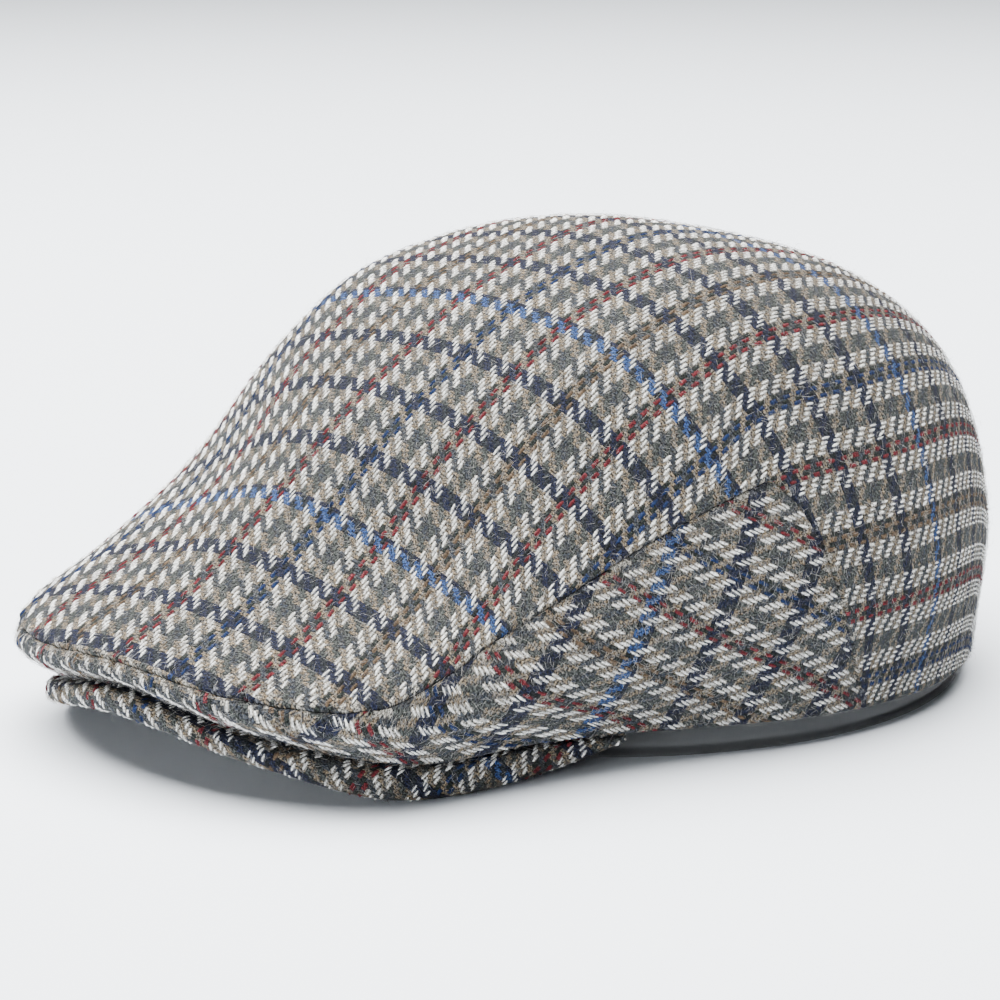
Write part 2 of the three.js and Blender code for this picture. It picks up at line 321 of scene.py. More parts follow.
def smooth_curve(xs, ys, x):
    """A smooth curve through (xs[k], ys[k]), read at each x. ys may hold rows of values."""
    xs = np.asarray(xs, float)
    ys = np.asarray(ys, float)
    x = np.asarray(x, float)
    last = len(xs) - 1
    before = np.maximum(np.arange(last + 1) - 1, 0)
    after = np.minimum(np.arange(last + 1) + 1, last)
    per_row = (-1,) + (1,) * (ys.ndim - 1)
    slopes = (ys[after] - ys[before]) / (xs[after] - xs[before]).reshape(per_row)
    k = np.clip(np.searchsorted(xs, x, side="left") - 1, 0, last - 1)
    width = xs[k + 1] - xs[k]
    f = (x - xs[k]) / width
    if ys.ndim > 1:
        f = f[..., None]
        width = width[..., None]
    rise = f * f * (3 - 2 * f)
    bend = width * f * (1 - f) * ((1 - f) * slopes[k] - f * slopes[k + 1])
    return ys[k] * (1 - rise) + ys[k + 1] * rise + bend


def read_table(azimuths, values, azimuth):
    """A table's values at an azimuth, alike on both sides."""
    xs = [-azimuths[2], -azimuths[1], *azimuths]
    ys = [values[2], values[1], *values]
    if azimuths[-1] == 180:
        xs += [360 - azimuths[-2], 360 - azimuths[-3]]
        ys += [values[-2], values[-3]]
    return smooth_curve(xs, ys, np.abs(azimuth))


def smoothstep(x, low, high):
    f = np.clip((np.asarray(x, float) - low) / (high - low), 0, 1)
    return f * f * (3 - 2 * f)


def unit(vectors):
    return vectors / np.maximum(np.linalg.norm(vectors, axis=-1, keepdims=True), TINY)


# The crown's surface

CROWN_AZIMUTHS = [row[0] for row in CROWN]
CROWN_RADII = [[point[0] for point in row[1:]] for row in CROWN]
CROWN_HEIGHTS = [[point[1] for point in row[1:]] for row in CROWN]


def polar_point(azimuth, radius, height):
    angle = np.radians(azimuth)
    return np.stack([radius * np.sin(angle), POLE_Y - radius * np.cos(angle), height], axis=-1)


def crown_point(azimuth, ring):
    """Points of the crown's outer face; azimuth and ring are arrays of one shape."""
    azimuth = (np.asarray(azimuth, float) + 180) % 360 - 180
    radii = read_table(CROWN_AZIMUTHS, CROWN_RADII, azimuth)
    heights = read_table(CROWN_AZIMUTHS, CROWN_HEIGHTS, azimuth)
    opposite = 180 - np.abs(azimuth)
    far_radius = read_table(CROWN_AZIMUTHS, [row[0] for row in CROWN_RADII], opposite)
    far_height = read_table(CROWN_AZIMUTHS, [row[0] for row in CROWN_HEIGHTS], opposite)
    pole = np.zeros_like(azimuth)
    radii = np.concatenate([-far_radius[..., None], pole[..., None], radii], axis=-1)
    heights = np.concatenate([far_height[..., None], pole[..., None] + POLE_HEIGHT, heights], axis=-1)
    return polar_point(azimuth, along_profile(radii, ring), along_profile(heights, ring))


def along_profile(values, ring):
    """Each point's own profile, with one value for each ring, read at its ring."""
    last = values.shape[-1] - 1
    x = np.clip(np.asarray(ring, float) + 1, 0, last)
    k = np.clip(np.ceil(x).astype(int) - 1, 0, last - 1)
    f = x - k

    def value(index):
        return np.take_along_axis(values, index[..., None], axis=-1)[..., 0]

    def slope(index):
        before = np.maximum(index - 1, 0)
        after = np.minimum(index + 1, last)
        return (value(after) - value(before)) / (after - before)

    rise = f * f * (3 - 2 * f)
    bend = f * (1 - f) * ((1 - f) * slope(k) - f * slope(k + 1))
    return value(k) * (1 - rise) + value(k + 1) * rise + bend


def crown_normal(azimuth, ring):
    ring_step = 0.05
    azimuth_step = 0.5
    at = np.maximum(ring, ring_step)
    lower = crown_point(azimuth, np.minimum(at + ring_step, HEM_RING))
    along = lower - crown_point(azimuth, at - ring_step)
    around = crown_point(azimuth + azimuth_step, at) - crown_point(azimuth - azimuth_step, at)
    return unit(np.cross(along, around))


class Meridians:
    """Arc lengths down the crown's outer face, one line for each azimuth."""

    def __init__(self, azimuths):
        self.azimuths = np.asarray(azimuths, float)
        self.rings = np.linspace(0, HEM_RING, MERIDIAN_STEPS)
        grid = np.meshgrid(self.azimuths, self.rings, indexing="ij")
        steps = np.linalg.norm(np.diff(crown_point(*grid), axis=1), axis=-1)
        start = np.zeros((len(self.azimuths), 1))
        self.lengths = np.concatenate([start, np.cumsum(steps, axis=1)], axis=1)

    def length_at(self, rings):
        """Lengths from the pole to rings, one for each azimuth or a row of them for each."""
        rows = np.asarray(rings, float).reshape(len(self.azimuths), -1)
        found = [np.interp(row, self.rings, line) for row, line in zip(rows, self.lengths)]
        return np.array(found).reshape(np.shape(rings))

    def ring_at(self, lengths):
        rows = np.asarray(lengths, float).reshape(len(self.azimuths), -1)
        found = [np.interp(row, line, self.rings) for row, line in zip(rows, self.lengths)]
        return np.array(found).reshape(np.shape(lengths))


def seam_ring(azimuth):
    at = np.abs(azimuth)
    side = smooth_curve(*zip(*SIDE_SEAM), np.minimum(at, CORNER_AZIMUTH))
    back = smooth_curve(*zip(*BACK_SEAM), np.maximum(at, CORNER_AZIMUTH))
    return np.where(at <= CORNER_AZIMUTH, side, np.minimum(back, HEM_RING))


# The cloth's threads on each panel


def top_threads(azimuth, length):
    """Millimetres of cloth across and back from the pole. The threads fan out round the pole,
    run square down the sides, and draw together towards the front edge."""
    angle = np.radians(azimuth)
    away = np.abs(azimuth)
    across = np.sin(angle)
    back = -np.cos(angle)
    power = 2 + 2 * smoothstep(length, *SQUARING_LENGTHS) * smoothstep(away, *SQUARING_AZIMUTHS)
    square = (np.abs(across) ** power + np.abs(back) ** power) ** (1 / power)
    front = smoothstep(length, *DRAWN_IN_LENGTHS) * (1 - smoothstep(away, *DRAWN_IN_AZIMUTHS))
    return length * across / square * (1 - DRAWN_IN_SHARE * front), length * back / square


def side_threads(reach, drop):
    """Millimetres of cloth on a side panel, reach back along the fold and drop below it."""
    chart = smooth_curve([row[0] for row in SIDE_CLOTH], [row[1:] for row in SIDE_CLOTH], reach)
    return chart[..., 0] + chart[..., 1] * drop, chart[..., 2] + chart[..., 3] * drop


def count_threads(u, v):
    """Thread counts from millimetres of cloth, the middle of a coloured band at each line."""
    return np.stack([u / PITCH + BAND / 2, (v - LIGHT_WEFT_LINE) / PITCH + BAND / 2], axis=-1)


# Meshes


def new_object(mesh, material, replaced=()):
    """A piece of the part, with its mesh's name."""
    piece = bpy.data.objects.new(mesh.name, mesh)
    bpy.context.scene.collection.objects.link(piece)
    mesh.materials.append(material)
    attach(piece, "root")
    if replaced:
        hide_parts(*replaced)


def new_mesh(name, points, faces, threads=None):
    """A smooth mesh from points in millimetres, faces of three or four, and thread counts."""
    mesh = bpy.data.meshes.new(name)
    corners = np.concatenate([part.ravel() for part in faces]).astype(np.int32)
    sizes = np.concatenate([np.full(len(part), part.shape[1]) for part in faces]).astype(np.int32)
    starts = np.concatenate([[0], np.cumsum(sizes)[:-1]]).astype(np.int32)
    mesh.vertices.add(len(points))
    mesh.vertices.foreach_set("co", (np.asarray(points) * MM).astype(np.float32).ravel())
    mesh.loops.add(len(corners))
    mesh.loops.foreach_set("vertex_index", corners)
    mesh.polygons.add(len(sizes))
    mesh.polygons.foreach_set("loop_start", starts)
    mesh.polygons.foreach_set("loop_total", sizes)
    mesh.polygons.foreach_set("use_smooth", np.ones(len(sizes), bool))
    if threads is not None:
        places = np.asarray(threads)[corners] / THREADS_PER_UV
        layer = mesh.uv_layers.new(name="threads")
        layer.data.foreach_set("uv", places.astype(np.float32).ravel())
    mesh.update(calc_edges=True)
    mesh.validate()
    return mesh


def grid_faces(ids, wrap):
    """Quads over a grid of point ids, facing away from the side where columns run clockwise."""
    following = np.roll(ids, -1, axis=0) if wrap else ids[1:]
    ids = ids if wrap else ids[:-1]
    quads = np.stack([ids[:, :-1], ids[:, 1:], following[:, 1:], following[:, :-1]], axis=-1)
    return quads.reshape(-1, 4)


def ring_of_faces(first, second):
    """Quads that join two matching rows of point ids."""
    return np.stack([first[:-1], second[:-1], second[1:], first[1:]], axis=-1)


def fan_of_faces(rows):
    """Triangles from the first point of each row, which they share, to the second points."""
    return np.stack([rows[:-1, 0], rows[:-1, 1], rows[1:, 1]], axis=-1)


def spike_faces(count, size, pointed_start):
    """The faces of count three-sided spikes, each of size points: rows of three up to a tip,
    after a first point where the start is pointed too."""
    tip = size - 1
    begin = 1 if pointed_start else 0
    triangles = [(0, 2, 1), (0, 3, 2), (0, 1, 3)] if pointed_start else [(2, 1, 0)]
    triangles += [(tip - 3, tip - 2, tip), (tip - 2, tip - 1, tip), (tip - 1, tip - 3, tip)]
    quads = []
    for k in range(begin, tip - 3, 3):
        quads += [(k, k + 1, k + 4, k + 3), (k + 1, k + 2, k + 5, k + 4), (k + 2, k, k + 3, k + 5)]
    first = (np.arange(count) * size)[:, None, None]
    return [(first + np.array(triangles)).reshape(-1, 3), (first + np.array(quads)).reshape(-1, 4)]


def rolled(distance, radius):
    """How far a rolled edge has turned back, at each distance from it."""
    gap = np.clip(1 - distance / radius, 0, 1)
    return radius * (1 - np.sqrt(1 - gap * gap))


def spread_rows(total, count, both_ends):
    """Lengths down each column, close together at its end, or at both of its ends."""
    band = np.minimum(EDGE_BAND, total / 3)[:, None]
    start = band if both_ends else 0
    middle = start + (total[:, None] - band - start) * np.linspace(0, 1, count)
    end = total[:, None] - band * EDGE_SHARES[::-1][1:]
    parts = [middle, end]
    if both_ends:
        parts.insert(0, band * EDGE_SHARES[:-1])
    return np.concatenate(parts, axis=1)


class Cloth:
    """One panel of cloth with two faces. Its grids run in columns, each from top to bottom."""

    def __init__(self, points, normals, threads, rise, seam_turn, hem_turn, wrap):
        outer = rise - np.maximum(seam_turn, hem_turn)
        inner = rise - CLOTH_THICKNESS + hem_turn
        self.outer = points + normals * outer[..., None]
        self.inner = points + normals * inner[..., None]
        self.threads = threads
        self.wrap = wrap

    def mesh(self, name):
        columns, rows = self.threads.shape[:2]
        if self.wrap:
            # All columns start at one point, the pole
            outer = np.zeros((columns, rows), int)
            outer[:, 1:] = 1 + np.arange(columns * (rows - 1)).reshape(columns, rows - 1)
            inner = outer + outer.max() + 1
            faces = [grid_faces(outer[:, 1:], True), grid_faces(inner[:, 1:], True)[:, ::-1]]
            closed = np.append(np.arange(columns), 0)
            faces += [fan_of_faces(outer[closed, :2]), fan_of_faces(inner[closed, :2])[:, ::-1]]
        else:
            outer = np.arange(columns * rows).reshape(columns, rows)
            inner = outer + outer.size
            faces = [grid_faces(outer, False), grid_faces(inner, False)[:, ::-1]]
            closed = np.arange(columns)
            faces.append(ring_of_faces(inner[closed, 0], outer[closed, 0]))
            faces.append(ring_of_faces(outer[0], inner[0]))
            faces.append(ring_of_faces(inner[-1], outer[-1]))
        faces.append(ring_of_faces(outer[closed, -1], inner[closed, -1]))
        places = np.unique(outer, return_index=True)[1]
        points = np.concatenate([grid.reshape(-1, 3)[places] for grid in (self.outer, self.inner)])
        threads = np.tile(self.threads.reshape(-1, 2)[places], (2, 1))
        return new_mesh(name, points, faces, threads)

    def outer_triangles(self):
        columns, rows = self.threads.shape[:2]
        quads = grid_faces(np.arange(columns * rows).reshape(columns, rows), self.wrap)
        return np.concatenate([quads[:, [0, 1, 2]], quads[:, [0, 2, 3]]])


class ThreadFinder:
    """Finds the place on a panel's outer face where two threads cross."""

    def __init__(self, cloth):
        self.points = cloth.outer.reshape(-1, 3)
        self.threads = cloth.threads.reshape(-1, 2)
        self.triangles = cloth.outer_triangles()
        flat = np.column_stack([self.threads, np.zeros(len(self.threads))])
        self.tree = BVHTree.FromPolygons(flat.tolist(), self.triangles.tolist())
        a, b, c = (self.points[self.triangles[:, k]] for k in range(3))
        self.face_normals = unit(np.cross(b - a, c - a))

    def find(self, threads):
        """Points, normals, and whether each pair of threads crosses on this panel."""
        down = Vector((0, 0, -1))
        hits = [self.tree.ray_cast(Vector((s, t, 1)), down)[2] for s, t in threads.tolist()]
        found = np.array([hit is not None for hit in hits])
        face = np.array([0 if hit is None else hit for hit in hits])
        corners = self.triangles[face]
        a, b, c = (self.threads[corners[:, k]] for k in range(3))
        first, second, offset = b - a, c - a, threads - a
        area = cross_2d(first, second)
        area = np.where(np.abs(area) < TINY, TINY, area)
        w1 = cross_2d(offset, second) / area
        w2 = cross_2d(first, offset) / area
        weights = np.stack([1 - w1 - w2, w1, w2], axis=-1)
        return (self.points[corners] * weights[..., None]).sum(axis=1), self.face_normals[face], found


def cross_2d(a, b):
    return a[:, 0] * b[:, 1] - a[:, 1] * b[:, 0]


# The panels


def undulation(points):
    """Low soft waves in the cloth, in millimetres."""
    height = np.zeros(points.shape[:-1])
    for size, direction, phase in WAVES:
        angle = math.radians(direction)
        along = points[..., 0] * math.cos(angle) + points[..., 1] * math.sin(angle)
        along = along + points[..., 2] * WAVE_CLIMB
        height += np.sin(along * 2 * math.pi / size + phase)
    return height * WAVE_HEIGHT


def pucker(azimuth, distance):
    """Small gathers where the thread pulls the cloth in beside a seam."""
    wave = sum(share * np.sin(azimuth * pace + phase) for pace, phase, share in PUCKERS)
    return PUCKER_HEIGHT * wave * np.exp(-distance / PUCKER_REACH)


def top_cloth():
    columns = np.arange(TOP_COLUMNS) * 360 / TOP_COLUMNS - 180
    meridians = Meridians(columns)
    at_side = np.abs(columns) < PANEL_END_AZIMUTH
    edge_ring = np.where(at_side, seam_ring(columns), HEM_RING)
    total = meridians.length_at(edge_ring)
    lengths = spread_rows(total, TOP_ROWS, both_ends=False)
    rings = meridians.ring_at(lengths)
    azimuths = np.broadcast_to(columns[:, None], rings.shape)
    points = crown_point(azimuths, rings)
    normals = crown_normal(azimuths, rings)
    distance = total[:, None] - lengths
    u, v = top_threads(azimuths, lengths)
    sewn = 1 - smoothstep(np.abs(azimuths), *SEWN_AZIMUTHS)
    seam = SEAM_LIP * np.exp(-distance / SEAM_REACH) + pucker(azimuths, distance)
    rise = undulation(points) + sewn * seam
    turns = (sewn * rolled(distance, SEAM_ROLL), (1 - sewn) * rolled(distance, HEM_ROLL))
    return Cloth(points, normals, count_threads(u, v), rise, *turns, wrap=True)


def side_cloth(side):
    share = np.linspace(0, 1, SIDE_COLUMNS)
    columns = PANEL_END_AZIMUTH * (1 - (1 - share) ** SIDE_CROWDING)
    columns = np.maximum(columns, math.degrees(SEAM_GAP / 2 / CROWN[0][4][0]))
    meridians = Meridians(columns)
    top = meridians.length_at(seam_ring(columns)) + SEAM_GAP
    hem = meridians.length_at(np.full_like(columns, HEM_RING))
    lengths = top[:, None] + spread_rows(hem - top, SIDE_ROWS, both_ends=True)
    rings = meridians.ring_at(lengths)
    azimuths = np.broadcast_to(columns[:, None], rings.shape)
    points = crown_point(azimuths, rings)
    normals = crown_normal(azimuths, rings)
    reference = np.full_like(columns, SIDE_REFERENCE_RING)
    steps = np.linalg.norm(np.diff(crown_point(columns, reference), axis=0), axis=-1)
    reach = np.concatenate([[0], np.cumsum(steps)])[:, None] + 0 * lengths
    drop = lengths - meridians.length_at(reference)[:, None]
    from_top = lengths - top[:, None]
    from_hem = hem[:, None] - lengths
    from_seams = np.minimum(from_top, np.minimum(reach, reach[-1:] - reach))
    turns = (rolled(from_seams, SEAM_ROLL), rolled(from_hem, HEM_ROLL))
    rise = undulation(points) - SEAM_SINK * np.exp(-from_top / SEAM_REACH)
    rise += pucker(azimuths, from_top)
    u, v = side_threads(reach, drop)
    if side < 0:
        points = points * MIRROR
        normals = normals * MIRROR
        flipped = slice(None, None, -1)
        grids = (points, normals, count_threads(-u, v), rise, *turns)
        return Cloth(*(grid[flipped] for grid in grids), wrap=False)
    return Cloth(points, normals, count_threads(u, v), rise, *turns, wrap=False)


def peak_section(azimuth):
    """The peak's outline at one azimuth as rows of (radius, height, cloth past the rim), from
    the top's inner side out, round the edge and back underneath."""
    radius, lower, inner = read_table([row[0] for row in PEAK], [row[1:] for row in PEAK], azimuth)
    hem_height = read_table(CROWN_AZIMUTHS, [heights[-1] for heights in CROWN_HEIGHTS], azimuth)
    upper = hem_height - PEAK_GAP
    height = upper - lower
    turn = min(height / 2, (radius - PEAK_INNER_RADIUS) / 3)
    inner_top = max(inner + PEAK_INNER_THICKNESS, upper)
    top = np.linspace(0, 1, PEAK_TOP_STEPS)
    top_radius = PEAK_INNER_RADIUS + (radius - turn - PEAK_INNER_RADIUS) * top
    top_height = inner_top + (upper - inner_top) * smoothstep(top, 0, PEAK_INNER_REACH)
    angle = np.radians(np.linspace(90, -90, PEAK_EDGE_STEPS))[1:-1]
    edge_radius = radius - turn + turn * np.cos(angle) ** PEAK_SQUARENESS
    climb = np.sign(np.sin(angle)) * np.abs(np.sin(angle)) ** PEAK_SQUARENESS
    edge_height = (upper + lower) / 2 + height / 2 * climb
    under = np.linspace(1, 0, PEAK_UNDER_STEPS)
    under_radius = PEAK_INNER_RADIUS + (radius - turn - PEAK_INNER_RADIUS) * under
    arch = min(PEAK_ARCH, height / 4) * np.sin(math.pi * under)
    under_height = inner + (lower - inner) * under + arch
    radii = np.concatenate([top_radius, edge_radius, under_radius])
    heights = np.concatenate([top_height, edge_height, under_height])
    steps = np.hypot(np.diff(radii), np.diff(heights))
    reach = np.concatenate([[0], np.cumsum(steps)])
    return radii, heights, reach - reach[PEAK_TOP_STEPS - 1]


class Peak:
    """The peak, a closed body of cloth over a stiffener. Its columns run across from side to
    side, and each runs out over the top, round the edge and back underneath."""

    def __init__(self):
        columns = np.linspace(-PEAK_END_AZIMUTH, PEAK_END_AZIMUTH, PEAK_COLUMNS)
        sections = [peak_section(azimuth) for azimuth in columns]
        radii, heights, reach = (np.array(part) for part in zip(*sections))
        azimuths = np.broadcast_to(columns[:, None], radii.shape)
        self.outer = polar_point(azimuths, radii, heights)
        # The cloth is eased round the rim, the line where the top meets the edge
        rim = self.outer[:, PEAK_TOP_STEPS - 1, :2]
        steps = np.diff(rim, axis=0)
        turn = np.arctan2(steps[:, 1], steps[:, 0]) * PEAK_TURN_SHARE
        length = np.linalg.norm(steps, axis=1)
        along = np.stack([np.cos(turn), np.sin(turn)], axis=1)
        start = np.cumsum(np.concatenate([[[0, 0]], along * length[:, None]]), axis=0)
        start -= start[PEAK_COLUMNS // 2]
        outward = np.stack([along[:, 1], -along[:, 0]], axis=1)
        outward = np.concatenate([outward, outward[-1:]])
        u = PEAK_CLOTH_ACROSS + start[:, None, 0] + outward[:, None, 0] * reach
        v = PEAK_CLOTH_BACK + (start[:, None, 1] + outward[:, None, 1] * reach) * PEAK_CLOTH_STRETCH
        self.threads = count_threads(u, v)
        self.wrap = False

    def mesh(self, name):
        columns, rows = self.threads.shape[:2]
        ids = np.arange(columns * rows).reshape(columns, rows)
        faces = [grid_faces(ids, wrap=False), ring_of_faces(ids[:, -1], ids[:, 0])]
        half = rows // 2
        for end, order in ((ids[0], 1), (ids[-1], -1)):
            faces.append(ring_of_faces(end[:half], end[::-1][:half])[:, ::order])
        return new_mesh(name, self.outer.reshape(-1, 3), faces, self.threads.reshape(-1, 2))

    outer_triangles = Cloth.outer_triangles


def ring_mesh(name):
    """The clear ring: a thin oval wall with a rounded foot and rim, flaring upwards."""
    outwards, heights = np.array(RING_SECTION).T
    angle = np.linspace(0, 2 * math.pi, RING_COLUMNS, endpoint=False)[:, None]
    radius = RING_HALF_WIDTH + outwards[None]
    height = heights[None] + 0 * angle
    x = radius * np.sin(angle)
    y = POLE_Y - radius * np.cos(angle) * RING_HALF_LENGTH / RING_HALF_WIDTH
    points = np.stack([x, y, height], axis=-1)
    ids = np.arange(points.shape[0] * points.shape[1]).reshape(points.shape[:2])
    closed = np.concatenate([ids, ids[:, :1]], axis=1)
    return new_mesh(name, points.reshape(-1, 3), [grid_faces(closed, wrap=True)[:, ::-1]])


# What stands on the cloth


def thread_range(finder):
    low = np.floor(finder.threads.min(axis=0)).astype(int)
    high = np.ceil(finder.threads.max(axis=0)).astype(int)
    return low, high


def warp_floats(name, finder, random):
    """The warp threads' floats on a panel, each a small closed ridge with pointed ends."""
    low, high = thread_range(finder)
    warp, weft = np.meshgrid(np.arange(low[0], high[0]), np.arange(low[1], high[1]), indexing="ij")
    in_check = warp % CHECK
    in_line = np.isin(in_check, WARP_LINE_THREADS)
    begins = ((warp + weft) % TWILL == 0) & (in_line | (in_check // BAND % 2 == 1))
    warp, weft, in_line = warp[begins], weft[begins], in_line[begins]
    count = len(warp)
    along, half, height = np.array(FLOAT_STATIONS).T
    half = half * PITCH
    shift = random.normal(0, FLOAT_SHIFT_SPREAD, (count, 1))
    size = random.uniform(*FLOAT_SIZES, (count, 1))
    lean = random.normal(FLOAT_LEAN, FLOAT_LEAN_SPREAD, (count, 1))
    s = warp[:, None] + 0.5 + shift - lean * (along - 1)
    t = weft[:, None] + 1 + (along - 1) * random.uniform(*FLOAT_LENGTHS, (count, 1))
    middle, normal, found = finder.find(np.stack([s, t], axis=-1).reshape(-1, 2))
    above = middle[:, 2].reshape(count, -1).min(axis=1) > FLOAT_CLEARANCE
    keep = found.reshape(count, -1).all(axis=1) & above
    middle = middle.reshape(count, -1, 3)[keep]
    normal = normal.reshape(count, -1, 3)[keep]
    size = size[keep]
    width = size * np.where(in_line[keep], LINE_FLOAT_WIDTH, 1)[:, None]
    direction = unit(np.gradient(middle, axis=1))
    across = unit(np.cross(direction, normal))
    ridge = middle + normal * (height * size)[..., None]
    base = middle - normal * FLOAT_SINK
    left = base - across * (half * width)[..., None]
    right = base + across * (half * width)[..., None]
    body = np.stack([left, ridge, right], axis=2)[:, 1:-1].reshape(len(middle), -1, 3)
    points = np.concatenate([ridge[:, :1], body, ridge[:, -1:]], axis=1)
    faces = spike_faces(*points.shape[:2], pointed_start=True)
    rows = len(FLOAT_STATIONS) - 2
    sides = np.array([0, *([-FLOAT_COLOR_SIDE, 0, FLOAT_COLOR_SIDE] * rows), 0])
    station = np.array([0, *np.repeat(np.arange(rows) + 1, 3), rows + 1])
    threads = np.stack([
        warp[keep][:, None] + 0.5 + sides,
        weft[keep][:, None] + np.clip(along, *FLOAT_COLOR_ENDS)[station],
    ], axis=-1)
    return new_mesh(name, points.reshape(-1, 3), faces, threads.reshape(-1, 2))


def loose_hairs(name, finder, count, random):
    """Fine curling wool fibres that lie on a panel, each a thin closed three-sided spike."""
    low, high = thread_range(finder)
    threads = random.uniform(low, high, (count * HAIR_TRIES, 2))
    root, normal, found = finder.find(threads)
    found &= root[:, 2] > HAIR_ROOT_LOWEST
    root, normal, threads = root[found][:count], normal[found][:count], threads[found][:count]
    count = len(root)
    length = np.minimum(random.gamma(HAIR_GAMMA, HAIR_LENGTH, (count, 1)) + HAIR_LEAST, HAIR_MOST)
    tangent = unit(np.cross(normal, random.normal(0, 1, (count, 3))))
    side = np.cross(normal, tangent)
    lift = random.uniform(0, HAIR_LIFT, (count, 1))
    lift = lift + (random.random((count, 1)) < STANDING_SHARE) * STANDING_LIFT
    bend = random.normal(0, HAIR_BEND, (count, 1))
    path = []
    for share in HAIR_STATIONS:
        along = tangent * share + side * bend * share ** 2 + normal * lift * share * (HAIR_FALL - share)
        point = root + normal * HAIR_HEIGHT + along * length
        point[:, 2] = np.maximum(point[:, 2], HAIR_LOWEST)
        path.append(point)
    corners = []
    for k in range(3):
        turn = 2 * math.pi * k / 3
        corners.append((side * math.cos(turn) + normal * math.sin(turn)) * HAIR_RADIUS)
    rings = []
    for middle, share in zip(path[:-1], HAIR_STATIONS):
        rings += [middle + corner * (1 - share / 2) for corner in corners]
    points = np.stack(rings + path[-1:], axis=1)
    faces = spike_faces(*points.shape[:2], pointed_start=False)
    threads = np.repeat(threads, points.shape[1], axis=0)
    return new_mesh(name, points.reshape(-1, 3), faces, threads)


# Materials


class NodeMaker:
    """A new material, with its shader and further nodes. Inputs are numbers or sockets."""

    def __init__(self, name):
        self.material = bpy.data.materials.new(name)
        self.material.use_nodes = True
        self.tree = self.material.node_tree
        self.shader = self.tree.nodes["Principled BSDF"]

    def node(self, kind, **settings):
        made = self.tree.nodes.new(kind)
        for name, value in settings.items():
            setattr(made, name, value)
        return made

    def surface(self, values):
        for name, value in values.items():
            self.put(self.shader.inputs[name], value)

    def put(self, socket, value):
        if isinstance(value, bpy.types.NodeSocket):
            self.tree.links.new(value, socket)
        else:
            socket.default_value = value

    def math(self, operation, *inputs):
        made = self.node("ShaderNodeMath", operation=operation)
        for socket, value in zip(made.inputs, inputs):
            self.put(socket, value)
        return made.outputs[0]

    def vector(self, x, y, z):
        made = self.node("ShaderNodeCombineXYZ")
        for socket, value in zip(made.inputs, (x, y, z)):
            self.put(socket, value)
        return made.outputs[0]

    def mix(self, factor, a, b):
        """A number between a and b."""
        made = self.node("ShaderNodeMix", data_type="FLOAT")
        for socket, value in zip(made.inputs[0:1] + made.inputs[2:4], (factor, a, b)):
            self.put(socket, value)
        return made.outputs[0]

    def mix_color(self, factor, a, b, blend="MIX"):
        made = self.node("ShaderNodeMix", data_type="RGBA", blend_type=blend)
        self.put(made.inputs[0], factor)
        self.put(made.inputs[6], a)
        self.put(made.inputs[7], b)
        return made.outputs[2]

    def noise(self, vector, scale, detail, roughness=0.5):
        made = self.node("ShaderNodeTexNoise", noise_dimensions="3D")
        self.put(made.inputs["Vector"], vector)
        made.inputs["Scale"].default_value = scale
        made.inputs["Detail"].default_value = detail
        made.inputs["Roughness"].default_value = roughness
        return made.outputs["Fac"]

    def object_noise(self, scale, detail):
        place = self.node("ShaderNodeTexCoord")
        return self.noise(place.outputs["Object"], scale, detail)

    def ranged(self, factor, least, spread):
        return self.math("MULTIPLY_ADD", factor, spread, least)

    def steps(self, factor, colors):
        """One colour after another, each for its share of the factor from 0 to 1."""
        made = self.node("ShaderNodeValToRGB")
        made.color_ramp.interpolation = "CONSTANT"
        elements = made.color_ramp.elements
        elements.remove(elements[1])
        elements[0].position = colors[0][0]
        elements[0].color = colors[0][1]
        for position, color in colors[1:]:
            elements.new(position).color = color
        self.put(made.inputs["Fac"], factor)
        return made.outputs["Color"]


def thread_section(make, position, along, gap):
    """The height of a rounded thread across its width and along its float, from 0 to 1."""
    off_middle = make.math("SUBTRACT", make.math("FRACT", position), 0.5)
    across = make.math("MULTIPLY", make.math("ABSOLUTE", off_middle), 2 * gap)
    rest = make.math("SUBTRACT", 1, make.math("MULTIPLY", across, across))
    end = make.math("SINE", make.math("MULTIPLY", along, math.pi))
    end = make.math("MAXIMUM", end, 0)
    side = make.math("SQRT", make.math("MAXIMUM", rest, 0))
    return make.math("MULTIPLY", side, make.math("SQRT", end))


def check_color(make, thread, ground, lines, line_threads):
    """A thread's colour: the ground's, or its coloured line's on some threads of the band."""
    in_check = make.math("FLOORED_MODULO", thread, CHECK)
    at_thread = make.math("DIVIDE", make.math("ADD", in_check, 0.5), CHECK)
    ground_color = make.steps(at_thread, [(start / CHECK, YARNS[yarn]) for start, yarn in ground])
    count = len(lines)
    check = make.math("FLOORED_MODULO", make.math("FLOOR", make.math("DIVIDE", thread, CHECK)), count)
    at_check = make.math("DIVIDE", make.math("ADD", check, 0.5), count)
    line_color = make.steps(at_check, [(k / count, YARNS[yarn]) for k, yarn in enumerate(lines)])
    line_steps = [(k / CHECK, WHITE if k in line_threads else BLACK) for k in range(BAND + 1)]
    in_line = make.steps(at_thread, line_steps)
    return make.mix_color(in_line, ground_color, line_color)


